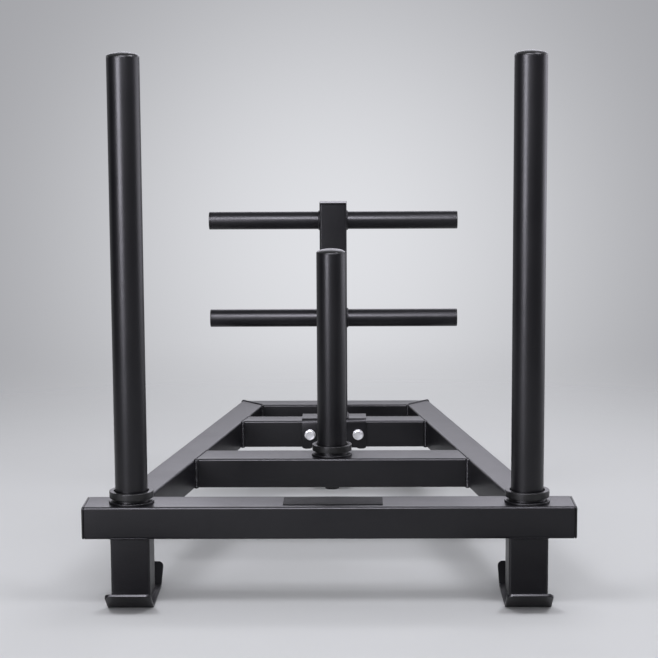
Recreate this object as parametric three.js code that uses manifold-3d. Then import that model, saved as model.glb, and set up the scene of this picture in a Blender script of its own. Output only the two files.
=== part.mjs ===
// Push sled: a tapered frame of welded tube on three turned-up skids, two tall plate posts on
// its wide front beam, a short post on the mid crossbar, and a bolted-on upright with two
// handlebars at the narrow end.
// Millimetres, +Z up, +X to the right, +Y from the front beam towards the handlebars.
// The origin is on the floor, under the middle of the sled.

import * as THREE from 'three';
import { mergeVertices } from 'three/addons/utils/BufferGeometryUtils.js';
import Module from 'manifold-3d';

const wasm = await Module();
wasm.setup();

// Clearances
const seatGap = 0.3;        // between faces that bear on, or are welded to, each other
const boltClearance = 0.5;  // round a shank in a drilled hole
const cutOverrun = 5;       // how far a cutting tool runs past what it cuts

// Tube stock of the frame
const tubeSize = 50;
const tubeWall = 3;
const tubeCorner = 4;
const leastInnerCorner = 0.8;

// Frame in plan, set back from the front beam's front face; posts and rails are set in from
// the ends of the beam, and the saddle crossbar stands a bay ahead of the rear crossbar
const frameTop = 150;
const frameLength = 916;
const frameRearWidth = 370;
const beamLength = 752;
const beamDepth = 75;
const railInset = 46;
const midBarSetback = 353;
const midBarDepth = 75;
const rearBayLength = 120;

// Legs and skids; a front skid lies a little further in than its leg
const legWidth = 60;
const legDepth = 70;
const skidLength = 197;
const skidWidth = 70;
const skidInset = 2.5;
const skidThickness = 4.5;
const skidLipLength = 45;
const skidLipAngle = THREE.MathUtils.degToRad(35);
const skidBendRadius = 5;
const skidTipRadius = 9;
const accessHoleDiameter = 36;

// Plate posts and what stands round their feet
const postInset = 73;
const postDiameter = 50;
const postWall = 3;
const frontPostHeight = 682;
const midPostHeight = 353;
const flangeThickness = 3;
const flangeMargin = 1;
const flangeEdge = 0.6;
const neckHeight = 4.5;
const neckWall = 5;
const ringSlack = 2;
const ringWidth = 7;
const ringHeight = 10.5;
const ringEdge = 1.2;
const postBoltDiameter = 16;
const postBoltHeadWidth = 24;
const postBoltHeadHeight = 8.8;
const postPlugHeight = 16;
const postBoltEngagement = 13;

// Upright, saddle bracket and handlebars
const lowerBarHeight = 192;
const handlebarSpacing = 183;
const uprightHeadroom = 34;
const handlebarDiameter = 33;
const handlebarWall = 2.5;
const handlebarLength = 462;
const saddleWidth = 120;
const saddlePlate = 5;
const saddleBoltSpacing = 90;
const saddleBoltDiameter = 10;
const saddleBoltHeadWidth = 16;
const saddleBoltHeadHeight = 6.4;
const saddleNutHeight = 8.4;
const saddleBoltTail = 3;
const washerDiameter = 20;
const washerThickness = 2;
const lowerBoltSpacing = 102;
const lowerBoltLength = 14;

// Moulded end caps
const capWall = 2;
const capSpigotLength = 18;
const beamCapThickness = 4;
const uprightCapThickness = 3;
const uprightSpigotShare = 0.8;
const boxCapEdge = 1.2;
const postCapRim = 0.4;
const postCapDome = 5.4;
const postCapEdge = 4.2;
const handlebarCapRim = 1.6;
const handlebarCapDome = 1.4;
const handlebarCapEdge = 1;

// Smoothness of round work
const cornerSteps = 2;
const smallCornerSteps = 1;
const postSteps = 30;
const handlebarSteps = 24;
const fastenerSteps = 16;
const hexSides = 6;

// Places that follow from the sizes above
const quarterTurn = Math.PI / 2;
const quarterTurnDegrees = 90;
const frameMiddle = frameTop - tubeSize / 2;
const frameBottom = frameTop - tubeSize;
const frameFrontWidth = beamLength - 2 * railInset;
const cutterSize = 2 * (frameLength + beamLength);
const beamMiddle = beamDepth / 2;
const midBarMiddle = midBarSetback + midBarDepth / 2;
const rearBarMiddle = frameLength - tubeSize / 2;
const saddleBarMiddle = rearBarMiddle - tubeSize - rearBayLength;
const taperAngle = Math.atan2((frameFrontWidth - frameRearWidth) / 2, frameLength - beamDepth);
const postOffset = beamLength / 2 - postInset;
const ringInnerRadius = postDiameter / 2 + ringSlack;
const ringOuterRadius = ringInnerRadius + ringWidth;
const flangeTop = seatGap + flangeThickness;
const neckTop = flangeTop + neckHeight;
const postFoot = flangeTop + seatGap;
const saddleHalfInside = tubeSize / 2 + seatGap;
const saddleHalfOutside = saddleHalfInside + saddlePlate;
const saddleTop = seatGap + saddlePlate;
const upperBarHeight = lowerBarHeight + handlebarSpacing;
const uprightHeight = upperBarHeight + uprightHeadroom;

function finish(color, roughness, metalness) {
  return new THREE.MeshStandardMaterial({ color, roughness, metalness, flatShading: true });
}

const powderCoat = finish(0x202124, 0.5, 0.2);
const capPlastic = finish(0x17181a, 0.45, 0);
const ringRubber = finish(0x1b1b1c, 0.8, 0);
const zincPlate = finish(0xd0d4d6, 0.3, 0.9);
const blackSteel = finish(0x1c1d1f, 0.4, 0.6);

// A closed geometry as a solid that can be joined and cut
function solidOf(geometry) {
  const bare = geometry.clone();
  bare.deleteAttribute('normal');
  bare.deleteAttribute('uv');
  const welded = mergeVertices(bare);
  const vertProperties = new Float32Array(welded.attributes.position.array);
  const triVerts = new Uint32Array(welded.index.array);
  return new wasm.Manifold(new wasm.Mesh({ numProp: 3, vertProperties, triVerts }));
}

function geometryOf(piece) {
  const cut = piece.getMesh();
  const geometry = new THREE.BufferGeometry();
  geometry.setAttribute('position', new THREE.BufferAttribute(cut.vertProperties, 3));
  geometry.setIndex(new THREE.BufferAttribute(cut.triVerts, 1));
  geometry.computeVertexNormals();
  return geometry;
}

function meshOf(name, piece, material, x, y, z) {
  const mesh = new THREE.Mesh(geometryOf(piece), material);
  mesh.name = name;
  mesh.position.set(x, y, z);
  return mesh;
}

function roundedRectangle(width, height, radius) {
  const x = width / 2 - radius;
  const y = height / 2 - radius;
  const outline = new THREE.Shape();
  const corners = [[x, y], [-x, y], [-x, -y], [x, -y]];
  corners.forEach(([cornerX, cornerY], turn) => {
    outline.absarc(cornerX, cornerY, radius, turn * quarterTurn, (turn + 1) * quarterTurn);
  });
  outline.closePath();
  return outline;
}

function extruded(outline, length) {
  const settings = { depth: length, bevelEnabled: false, curveSegments: cornerSteps };
  const geometry = new THREE.ExtrudeGeometry(outline, settings);
  geometry.translate(0, 0, -length / 2);
  return geometry;
}

// The section's width goes along Y, its height along Z and its length along X
function laidAlongX(geometry) {
  const width = new THREE.Vector3(0, 1, 0);
  const height = new THREE.Vector3(0, 0, 1);
  const length = new THREE.Vector3(1, 0, 0);
  return geometry.applyMatrix4(new THREE.Matrix4().makeBasis(width, height, length));
}

function tubeSection(width, height) {
  const section = roundedRectangle(width, height, tubeCorner);
  const innerCorner = Math.max(tubeCorner - tubeWall, leastInnerCorner);
  section.holes.push(roundedRectangle(width - 2 * tubeWall, height - 2 * tubeWall, innerCorner));
  return section;
}

// A profile of radius and height, turned round the Z axis
function turned(points, steps) {
  return solidOf(new THREE.LatheGeometry(points, steps).rotateX(quarterTurn));
}

function rod(radius, bottom, top, steps) {
  const geometry = new THREE.CylinderGeometry(radius, radius, top - bottom, steps);
  geometry.rotateX(quarterTurn);
  return solidOf(geometry.translate(0, 0, (top + bottom) / 2));
}

function pipe(radius, wall, bottom, top, steps) {
  const bore = rod(radius - wall, bottom - cutOverrun, top + cutOverrun, steps);
  return rod(radius, bottom, top, steps).subtract(bore);
}

// Takes off everything past an upright plane through (x, y) that faces along heading
function trimmed(piece, x, y, heading) {
  const block = new THREE.BoxGeometry(cutterSize, cutterSize, cutterSize);
  block.translate(cutterSize / 2, 0, 0);
  block.rotateZ(heading);
  block.translate(x, y, 0);
  return piece.subtract(solidOf(block));
}

function drilled(piece, radius, x, y, bottom, top) {
  const tool = rod(radius, bottom - cutOverrun, top + cutOverrun, fastenerSteps);
  return piece.subtract(tool.translate([x, y, 0]));
}

// Half width over the rails, and between them, at a setback from the front beam's front face
function railOuterHalf(setback) {
  return frameFrontWidth / 2 - (setback - beamDepth) * Math.tan(taperAngle);
}

function railInnerHalf(setback) {
  return railOuterHalf(setback) - tubeSize / Math.cos(taperAngle);
}

// The middle of the mitre between a rail and the rear crossbar, and its normal towards the rail
function mitre() {
  const inner = new THREE.Vector2(railInnerHalf(frameLength - tubeSize), frameLength - tubeSize);
  const outer = new THREE.Vector2(railOuterHalf(frameLength), frameLength);
  const middle = inner.clone().add(outer).divideScalar(2);
  const along = outer.clone().sub(inner).normalize();
  return { middle, normal: new THREE.Vector2(along.y, -along.x) };
}

// side is 1 on the right and -1 on the left
function rail(side) {
  const tube = laidAlongX(extruded(tubeSection(tubeSize, tubeSize), 2 * frameLength));
  const setback = frameLength / 2;
  const centre = (railOuterHalf(setback) + railInnerHalf(setback)) / 2;
  tube.rotateZ(quarterTurn + side * taperAngle);
  tube.translate(side * centre, setback, 0);
  const butted = trimmed(solidOf(tube), 0, beamDepth + seatGap, -quarterTurn);
  const { middle, normal } = mitre();
  const x = middle.x + normal.x * seatGap / 2;
  const y = middle.y + normal.y * seatGap / 2;
  const heading = Math.atan2(-normal.y, -normal.x);
  return trimmed(butted, side * x, y, side > 0 ? heading : Math.PI - heading);
}

function rearCrossbar() {
  let bar = solidOf(laidAlongX(extruded(tubeSection(tubeSize, tubeSize), frameFrontWidth)));
  const { middle, normal } = mitre();
  const x = middle.x - normal.x * seatGap / 2;
  const y = middle.y - normal.y * seatGap / 2 - rearBarMiddle;
  const heading = Math.atan2(normal.y, normal.x);
  bar = trimmed(bar, x, y, heading);
  return trimmed(bar, -x, y, Math.PI - heading);
}

// A crossbar whose ends follow the taper of the rails it is welded between
function crossbar(depth, middle) {
  let bar = solidOf(laidAlongX(extruded(tubeSection(depth, tubeSize), frameFrontWidth)));
  const reach = railInnerHalf(middle) - seatGap / Math.cos(taperAngle);
  bar = trimmed(bar, reach, 0, taperAngle);
  return trimmed(bar, -reach, 0, Math.PI - taperAngle);
}

function frontBeam() {
  const length = beamLength - 2 * (beamCapThickness + seatGap);
  let beam = solidOf(laidAlongX(extruded(tubeSection(beamDepth, tubeSize), length)));
  for (const side of [-1, 1]) {
    const holeRadius = postBoltDiameter / 2 + boltClearance;
    beam = drilled(beam, holeRadius, side * postOffset, 0, -tubeSize / 2, tubeSize / 2);
  }
  return beam;
}

function midCrossbar() {
  const holeRadius = postBoltDiameter / 2 + boltClearance;
  return drilled(crossbar(midBarDepth, midBarMiddle), holeRadius, 0, 0, -tubeSize / 2, tubeSize / 2);
}

// Round holes along Y, through the front and the back of what sits on the saddle crossbar
function saddleBoltHoles(halfDepth) {
  const holeRadius = saddleBoltDiameter / 2 + boltClearance;
  const tool = rod(holeRadius, -halfDepth - cutOverrun, halfDepth + cutOverrun, fastenerSteps);
  const sideways = tool.rotate([quarterTurnDegrees, 0, 0]);
  const reach = saddleBoltSpacing / 2;
  return sideways.translate([-reach, 0, 0]).add(sideways.translate([reach, 0, 0]));
}

function saddleCrossbar() {
  let bar = crossbar(tubeSize, saddleBarMiddle).subtract(saddleBoltHoles(tubeSize / 2));
  for (const side of [-1, 1]) {
    const x = side * lowerBoltSpacing / 2;
    bar = drilled(bar, saddleBoltDiameter / 2 + seatGap, x, 0, -tubeSize / 2, -tubeSize / 2);
  }
  return bar;
}

function leg(width, depth) {
  const height = frameBottom - skidThickness - 2 * seatGap;
  return solidOf(extruded(tubeSection(width, depth), height));
}

// One lip of the skid: outwards along its outside, round the tip and back along its inside
function lip(outline, flatHalf, side) {
  const outerRadius = skidBendRadius + skidThickness;
  const reach = outerRadius * Math.sin(skidLipAngle) + skidLipLength * Math.cos(skidLipAngle);
  const rise = outerRadius * (1 - Math.cos(skidLipAngle)) + skidLipLength * Math.sin(skidLipAngle);
  const tipIn = skidThickness * Math.sin(skidLipAngle);
  const tipUp = skidThickness * Math.cos(skidLipAngle);
  const down = -quarterTurn;
  if (side > 0) {
    outline.absarc(flatHalf, outerRadius, outerRadius, down, down + skidLipAngle, false);
    outline.lineTo(flatHalf + reach, rise);
    outline.lineTo(flatHalf + reach - tipIn, rise + tipUp);
    outline.absarc(flatHalf, outerRadius, skidBendRadius, down + skidLipAngle, down, true);
  } else {
    outline.absarc(-flatHalf, outerRadius, skidBendRadius, down, down - skidLipAngle, true);
    outline.lineTo(-flatHalf - reach + tipIn, rise + tipUp);
    outline.lineTo(-flatHalf - reach, rise);
    outline.absarc(-flatHalf, outerRadius, outerRadius, down - skidLipAngle, down, false);
  }
}

// A flat bar with both ends bent up and the corners of its tips rounded; it may have a hole
function skid(holeX, holeDiameter) {
  const outerRadius = skidBendRadius + skidThickness;
  const bent = outerRadius * Math.sin(skidLipAngle) + skidLipLength * Math.cos(skidLipAngle);
  const flatHalf = skidLength / 2 - bent;
  const profile = new THREE.Shape();
  lip(profile, flatHalf, 1);
  lip(profile, flatHalf, -1);
  profile.closePath();
  const plate = solidOf(laidAlongX(extruded(profile, skidWidth)));
  const across = skidTipRadius;
  const inLength = skidTipRadius * Math.cos(skidLipAngle);
  const x = skidWidth / 2 - across;
  const y = skidLength / 2 - inLength;
  const plan = new THREE.Shape();
  const corners = [[x, y], [-x, y], [-x, -y], [x, -y]];
  corners.forEach(([cornerX, cornerY], turn) => {
    const start = turn * quarterTurn;
    plan.absellipse(cornerX, cornerY, across, inLength, start, start + quarterTurn, false, 0);
  });
  plan.closePath();
  const rounded = plate.intersect(solidOf(extruded(plan, skidLength)));
  if (holeDiameter > 0) {
    return drilled(rounded, holeDiameter / 2, holeX, 0, 0, skidThickness);
  }
  return rounded;
}

// A moulded plate with a hollow spigot that plugs a box tube; the plate's outside faces +Z
function boxCap(width, height, thickness, spigotLength) {
  const settings = {
    depth: thickness - 2 * boxCapEdge,
    bevelThickness: boxCapEdge,
    bevelSize: boxCapEdge,
    bevelOffset: -boxCapEdge,
    bevelSegments: smallCornerSteps,
    curveSegments: cornerSteps,
  };
  const plate = new THREE.ExtrudeGeometry(roundedRectangle(width, height, tubeCorner), settings);
  plate.translate(0, 0, boxCapEdge);
  const outside = 2 * (tubeWall + seatGap);
  const inside = outside + 2 * capWall;
  const spigot = roundedRectangle(width - outside, height - outside, leastInnerCorner);
  spigot.holes.push(roundedRectangle(width - inside, height - inside, leastInnerCorner));
  const length = spigotLength + thickness / 2;
  const stem = extruded(spigot, length).translate(0, 0, thickness / 2 - length / 2);
  return solidOf(plate).add(solidOf(stem));
}

// A domed cap with a hollow spigot that plugs a round tube; its seat is at zero height
function roundCap(diameter, wall, rim, dome, edge, edgeSteps, steps) {
  const radius = diameter / 2;
  const spigotRadius = radius - wall - seatGap;
  const outline = new THREE.Path();
  outline.moveTo(0, 0);
  outline.lineTo(spigotRadius - capWall, 0);
  outline.lineTo(spigotRadius - capWall, -capSpigotLength);
  outline.lineTo(spigotRadius, -capSpigotLength);
  outline.lineTo(spigotRadius, 0);
  outline.lineTo(radius, 0);
  outline.lineTo(radius, rim);
  outline.absarc(radius - edge, rim, edge, 0, quarterTurn, false);
  outline.quadraticCurveTo(radius / 2, rim + dome, 0, rim + dome);
  return turned(outline.getPoints(edgeSteps), steps);
}

// The disc that a post stands on, with a raised neck round the post's foot
function postFlange() {
  const radius = ringOuterRadius + flangeMargin;
  const boreRadius = postBoltDiameter / 2 + boltClearance;
  const recessRadius = postDiameter / 2 + seatGap;
  const neckRadius = postDiameter / 2 + neckWall;
  const outline = new THREE.Path();
  outline.moveTo(boreRadius, seatGap);
  outline.lineTo(radius, seatGap);
  outline.lineTo(radius, flangeTop - flangeEdge);
  outline.lineTo(radius - flangeEdge, flangeTop);
  outline.lineTo(neckRadius, flangeTop);
  outline.lineTo(neckRadius, neckTop);
  outline.lineTo(recessRadius, neckTop);
  outline.lineTo(recessRadius, flangeTop);
  outline.lineTo(boreRadius, flangeTop);
  outline.closePath();
  return turned(outline.getPoints(), postSteps);
}

// The loose rubber ring that plates land on, its edges bevelled
function postRing() {
  const outline = new THREE.Path();
  outline.moveTo(ringInnerRadius + ringEdge, 0);
  outline.lineTo(ringOuterRadius - ringEdge, 0);
  outline.lineTo(ringOuterRadius, ringEdge);
  outline.lineTo(ringOuterRadius, ringHeight - ringEdge);
  outline.lineTo(ringOuterRadius - ringEdge, ringHeight);
  outline.lineTo(ringInnerRadius + ringEdge, ringHeight);
  outline.lineTo(ringInnerRadius, ringHeight - ringEdge);
  outline.lineTo(ringInnerRadius, ringEdge);
  outline.closePath();
  return turned(outline.getPoints(), postSteps);
}

// A hexagon from zero height up, its upper corners chamfered at thirty degrees
function hexagon(acrossFlats, height) {
  const radius = acrossFlats / Math.sqrt(3);
  const inset = radius - acrossFlats / 2;
  const fall = inset * Math.tan(Math.PI / hexSides);
  const outline = new THREE.Path();
  outline.moveTo(0, 0);
  outline.lineTo(radius, 0);
  outline.lineTo(radius, height - fall);
  outline.lineTo(radius - inset, height);
  outline.lineTo(0, height);
  return rod(radius, 0, height, hexSides).intersect(turned(outline.getPoints(), fastenerSteps));
}

// The head is below zero height and the shank rises from it
function hexBolt(diameter, headWidth, headHeight, length) {
  const head = hexagon(headWidth, headHeight).rotate([2 * quarterTurnDegrees, 0, 0]);
  return head.add(rod(diameter / 2, -headHeight / 2, length, fastenerSteps));
}

function hexNut(diameter, width, height) {
  return drilled(hexagon(width, height), diameter / 2 + seatGap, 0, 0, 0, height);
}

function washer() {
  const disc = rod(washerDiameter / 2, 0, washerThickness, fastenerSteps);
  return drilled(disc, saddleBoltDiameter / 2 + seatGap, 0, 0, 0, washerThickness);
}

// A folded plate that straddles the saddle crossbar
function saddleBracket() {
  const outerRadius = tubeCorner + seatGap + saddlePlate;
  const innerRadius = tubeCorner + seatGap;
  const profile = new THREE.Shape();
  profile.moveTo(-saddleHalfOutside, -tubeSize);
  profile.lineTo(-saddleHalfInside, -tubeSize);
  const innerTop = seatGap - innerRadius;
  const innerX = saddleHalfInside - innerRadius;
  profile.absarc(-innerX, innerTop, innerRadius, 2 * quarterTurn, quarterTurn, true);
  profile.absarc(innerX, innerTop, innerRadius, quarterTurn, 0, true);
  profile.lineTo(saddleHalfInside, -tubeSize);
  profile.lineTo(saddleHalfOutside, -tubeSize);
  profile.absarc(innerX, innerTop, outerRadius, 0, quarterTurn, false);
  profile.absarc(-innerX, innerTop, outerRadius, quarterTurn, 2 * quarterTurn, false);
  profile.closePath();
  const plate = solidOf(laidAlongX(extruded(profile, saddleWidth)));
  return plate.subtract(saddleBoltHoles(saddleHalfOutside).translate([0, 0, -tubeSize / 2]));
}

// Stands on the saddle bracket, bored for both handlebars
function upright(bottom, top) {
  let post = solidOf(extruded(tubeSection(tubeSize, tubeSize), top - bottom));
  post = post.translate([0, 0, (top + bottom) / 2]);
  for (const height of [lowerBarHeight, upperBarHeight]) {
    const radius = handlebarDiameter / 2 + seatGap;
    const tool = rod(radius, -tubeSize / 2 - cutOverrun, tubeSize / 2 + cutOverrun, handlebarSteps);
    post = post.subtract(tool.rotate([0, quarterTurnDegrees, 0]).translate([0, 0, height]));
  }
  return post;
}

function frameGroup() {
  const group = new THREE.Group();
  group.position.z = frameMiddle;
  group.add(meshOf('front_beam', frontBeam(), powderCoat, 0, beamMiddle, 0));
  group.add(meshOf('left_rail', rail(-1), powderCoat, 0, 0, 0));
  group.add(meshOf('right_rail', rail(1), powderCoat, 0, 0, 0));
  group.add(meshOf('mid_crossbar', midCrossbar(), powderCoat, 0, midBarMiddle, 0));
  group.add(meshOf('saddle_crossbar', saddleCrossbar(), powderCoat, 0, saddleBarMiddle, 0));
  group.add(meshOf('rear_crossbar', rearCrossbar(), powderCoat, 0, rearBarMiddle, 0));
  for (const [name, side] of [['left', -1], ['right', 1]]) {
    const x = side * (beamLength / 2 - beamCapThickness);
    const plug = boxCap(tubeSize, beamDepth, beamCapThickness, capSpigotLength);
    const cap = meshOf(`front_beam_cap_${name}`, plug, capPlastic, x, beamMiddle, 0);
    cap.rotation.y = side * quarterTurn;
    group.add(cap);
    const lowerBolt = hexBolt(
      saddleBoltDiameter, saddleBoltHeadWidth, saddleBoltHeadHeight, lowerBoltLength);
    const boltX = side * lowerBoltSpacing / 2;
    const boltZ = -tubeSize / 2 - seatGap;
    const boltName = `crossbar_bolt_${name}`;
    group.add(meshOf(boltName, lowerBolt, blackSteel, boltX, saddleBarMiddle, boltZ));
  }
  return group;
}

function legGroup(name, x, y, width, depth, holeDiameter) {
  const group = new THREE.Group();
  group.position.set(x, y, 0);
  const legMiddle = (skidThickness + frameBottom) / 2;
  const skidX = -Math.sign(x) * skidInset;
  group.add(meshOf(`${name}_skid`, skid(-skidX, holeDiameter), powderCoat, skidX, 0, 0));
  group.add(meshOf(`${name}_leg`, leg(width, depth), powderCoat, 0, 0, legMiddle));
  return group;
}

function postGroup(name, x, y, height) {
  const group = new THREE.Group();
  group.position.set(x, y, frameTop);
  const capSeat = height - postCapRim - postCapDome;
  const tube = pipe(postDiameter / 2, postWall, postFoot, capSeat - seatGap, postSteps);
  const cap = roundCap(
    postDiameter, postWall, postCapRim, postCapDome, postCapEdge, cornerSteps, postSteps);
  const plugRadius = postDiameter / 2 - postWall - seatGap;
  const bore = postBoltDiameter / 2 + seatGap;
  const blank = rod(plugRadius, postFoot, postFoot + postPlugHeight, fastenerSteps);
  const plug = drilled(blank, bore, 0, 0, postFoot, postFoot + postPlugHeight);
  const boltSeat = -tubeSize - seatGap;
  const boltLength = postFoot + postBoltEngagement - boltSeat;
  const bolt = hexBolt(postBoltDiameter, postBoltHeadWidth, postBoltHeadHeight, boltLength);
  group.add(meshOf(`${name}_post`, tube, powderCoat, 0, 0, 0));
  group.add(meshOf(`${name}_post_cap`, cap, capPlastic, 0, 0, capSeat));
  group.add(meshOf(`${name}_post_flange`, postFlange(), powderCoat, 0, 0, 0));
  group.add(meshOf(`${name}_post_ring`, postRing(), ringRubber, 0, 0, neckTop + seatGap));
  group.add(meshOf(`${name}_post_plug`, plug, blackSteel, 0, 0, 0));
  group.add(meshOf(`${name}_post_bolt`, bolt, blackSteel, 0, 0, boltSeat));
  return group;
}

function handlebarMeshes(group, name, height) {
  const capSize = handlebarCapRim + handlebarCapDome;
  const tubeHalf = handlebarLength / 2 - capSize - seatGap;
  const radius = handlebarDiameter / 2;
  const tube = pipe(radius, handlebarWall, -tubeHalf, tubeHalf, handlebarSteps);
  group.add(meshOf(name, tube.rotate([0, quarterTurnDegrees, 0]), powderCoat, 0, 0, height));
  for (const [hand, side] of [['left', -1], ['right', 1]]) {
    const plug = roundCap(
      handlebarDiameter, handlebarWall, handlebarCapRim, handlebarCapDome, handlebarCapEdge,
      smallCornerSteps, handlebarSteps);
    const x = side * (tubeHalf + seatGap);
    const cap = meshOf(`${name}_cap_${hand}`, plug, capPlastic, x, 0, height);
    cap.rotation.y = side * quarterTurn;
    group.add(cap);
  }
}

// Bolts that run front to back through the saddle bracket and its crossbar
function saddleFasteners(group) {
  const frontWasherY = -saddleHalfOutside - seatGap - washerThickness;
  const rearWasherY = saddleHalfOutside + seatGap;
  const headY = frontWasherY - seatGap;
  const nutY = rearWasherY + washerThickness + seatGap;
  const length = nutY + saddleNutHeight + saddleBoltTail - headY;
  const z = -tubeSize / 2;
  for (const [name, side] of [['left', -1], ['right', 1]]) {
    const x = side * saddleBoltSpacing / 2;
    const bolt = hexBolt(saddleBoltDiameter, saddleBoltHeadWidth, saddleBoltHeadHeight, length);
    const nut = hexNut(saddleBoltDiameter, saddleBoltHeadWidth, saddleNutHeight);
    const pieces = [
      meshOf(`saddle_bolt_${name}`, bolt, zincPlate, x, headY, z),
      meshOf(`saddle_washer_front_${name}`, washer(), zincPlate, x, frontWasherY, z),
      meshOf(`saddle_washer_rear_${name}`, washer(), zincPlate, x, rearWasherY, z),
      meshOf(`saddle_nut_${name}`, nut, zincPlate, x, nutY, z),
    ];
    for (const piece of pieces) {
      piece.rotation.x = -quarterTurn;
      group.add(piece);
    }
  }
}

function handleGroup() {
  const group = new THREE.Group();
  group.position.set(0, saddleBarMiddle, frameTop);
  const capSeat = uprightHeight - uprightCapThickness;
  const stem = upright(saddleTop + seatGap, capSeat - seatGap);
  const room = uprightHeadroom - uprightCapThickness - handlebarDiameter / 2;
  const cap = boxCap(tubeSize, tubeSize, uprightCapThickness, room * uprightSpigotShare);
  group.add(meshOf('saddle_bracket', saddleBracket(), powderCoat, 0, 0, 0));
  group.add(meshOf('upright', stem, powderCoat, 0, 0, 0));
  group.add(meshOf('upright_cap', cap, capPlastic, 0, 0, capSeat));
  handlebarMeshes(group, 'lower_handlebar', lowerBarHeight);
  handlebarMeshes(group, 'upper_handlebar', upperBarHeight);
  saddleFasteners(group);
  return group;
}

const sled = new THREE.Group();
sled.add(frameGroup());
sled.add(legGroup('left', -postOffset, beamMiddle, legWidth, legDepth, accessHoleDiameter));
sled.add(legGroup('right', postOffset, beamMiddle, legWidth, legDepth, accessHoleDiameter));
sled.add(legGroup('rear', 0, rearBarMiddle, tubeSize, tubeSize, 0));
sled.add(postGroup('left', -postOffset, beamMiddle, frontPostHeight));
sled.add(postGroup('right', postOffset, beamMiddle, frontPostHeight));
sled.add(postGroup('mid', 0, midBarMiddle, midPostHeight));
sled.add(handleGroup());

const extent = new THREE.Box3().setFromObject(sled);
sled.position.y = -(extent.min.y + extent.max.y) / 2;

export default sled;
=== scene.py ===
# The looks of a push sled: smooth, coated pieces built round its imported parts, the welds that
# join them, and a pale studio with the camera at the photograph's angle.
# Metres, +Z up, +X to the right, +Y from the front beam towards the handlebars.

import math
import random

import bmesh
import bpy
from mathutils import Matrix, Vector


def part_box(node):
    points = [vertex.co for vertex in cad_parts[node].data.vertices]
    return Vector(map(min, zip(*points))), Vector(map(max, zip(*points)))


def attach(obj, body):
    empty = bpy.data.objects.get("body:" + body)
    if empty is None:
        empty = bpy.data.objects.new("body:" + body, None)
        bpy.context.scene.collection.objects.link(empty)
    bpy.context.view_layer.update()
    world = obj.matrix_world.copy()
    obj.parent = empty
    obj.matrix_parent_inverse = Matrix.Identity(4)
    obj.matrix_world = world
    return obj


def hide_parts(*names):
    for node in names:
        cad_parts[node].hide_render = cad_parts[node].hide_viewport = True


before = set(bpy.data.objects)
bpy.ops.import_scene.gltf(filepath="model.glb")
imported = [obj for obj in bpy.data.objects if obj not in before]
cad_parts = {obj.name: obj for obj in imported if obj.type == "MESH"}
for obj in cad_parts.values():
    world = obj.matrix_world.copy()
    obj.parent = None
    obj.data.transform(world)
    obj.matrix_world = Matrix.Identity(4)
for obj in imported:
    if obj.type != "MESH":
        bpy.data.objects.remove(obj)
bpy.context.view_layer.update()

RIGHT = Vector((1, 0, 0))
BACK = Vector((0, 1, 0))
UP = Vector((0, 0, 1))
SIDES = {"left": -1, "right": 1}
SUPPORTS = ("left", "right", "rear")
POSTS = ("left", "right", "mid")
HANDLEBARS = ("lower_handlebar", "upper_handlebar")
BODY = "sled"

# Smoothness
ARC_STEP = math.radians(9)
ROUND_STEPS = 72
SMALL_ROUND_STEPS = 48
EDGE_STEPS = 2
ROUND_PROFILE = 0.5
SHARP_ANGLE = math.radians(35)
TINY = 1e-7

# Tube stock and its caps
TUBE_WALL = 0.003
TUBE_CORNER = 0.004
TUBE_EDGE = 0.0003
SEAM = 0.0003
MITRE_SEAM = 0.0006
CAP_WALL = 0.002
CAP_SPIGOT = 0.018
BOX_CAP_STEM_CORNER = 0.0012
BOX_CAP_EDGE_SHARE = 0.75
BOX_CAP_EDGE_STEPS = 4

# Skids
SKID_THICKNESS = 0.0045
SKID_LIP_LENGTH = 0.045
SKID_LIP_ANGLE = math.radians(35)
SKID_BEND_RADIUS = 0.005
SKID_MIDDLE_RADIUS = SKID_BEND_RADIUS + SKID_THICKNESS / 2
SKID_OUTER_RADIUS = SKID_BEND_RADIUS + SKID_THICKNESS
SKID_TIP_RADIUS = 0.009
SKID_EDGE = 0.0009
SKID_TIP_SHARPENING = 0.9
SKID_BEND_STEPS = 10
SKID_TIP_STEPS = 8
SKID_EDGE_STEPS = 3
ACCESS_HOLE_DIAMETER = 0.036

# Plate posts. Each bend of a cap's edge has a radius and the slope from upright, in degrees, at
# which it ends.
POST_WALL = 0.003
POST_CAP_RIM = 0.0004
POST_CAP_BENDS = ((0.0005, 20), (0.007, 32), (0.0008, 50), (0.0145, 78))
POST_CAP_RISE = 0.0016
DOME_STEPS = 12
FLANGE_THICKNESS = 0.003
FLANGE_EDGE = 0.0008
NECK_WALL = 0.003
NECK_EDGE = 0.0012
NECK_ROOT = 0.0008
RING_WIDTH = 0.007
RING_EDGE = 0.0008
POST_BOLT_DIAMETER = 0.016
POST_BOLT_HEAD_WIDTH = 0.024
POST_BOLT_HEAD_HEIGHT = 0.0088

# Saddle bracket, upright and handlebars
SADDLE_PLATE = 0.005
SADDLE_EDGE = 0.0006
SADDLE_BOLT_DIAMETER = 0.010
SADDLE_BOLT_HEAD_WIDTH = 0.016
SADDLE_BOLT_HEAD_HEIGHT = 0.0064
WASHER_EDGE = 0.0004
UPRIGHT_CAP_THICKNESS = 0.003
HANDLEBAR_WALL = 0.0025
HANDLEBAR_CAP_RIM = 0.0016
HANDLEBAR_CAP_BENDS = ((0.001, 90),)

# Bolts and nuts
BOLT_CLEARANCE = 0.0005
BOLT_TIP_SHARE = 0.125
HEX_SIDES = 6
HEX_SIDE_STEPS = 10
HEX_CHAMFER = math.radians(30)
HEX_FACE_SHARE = 0.95
HEX_DISH = 0.0003
HEX_DISH_SHARE = 0.8

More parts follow.
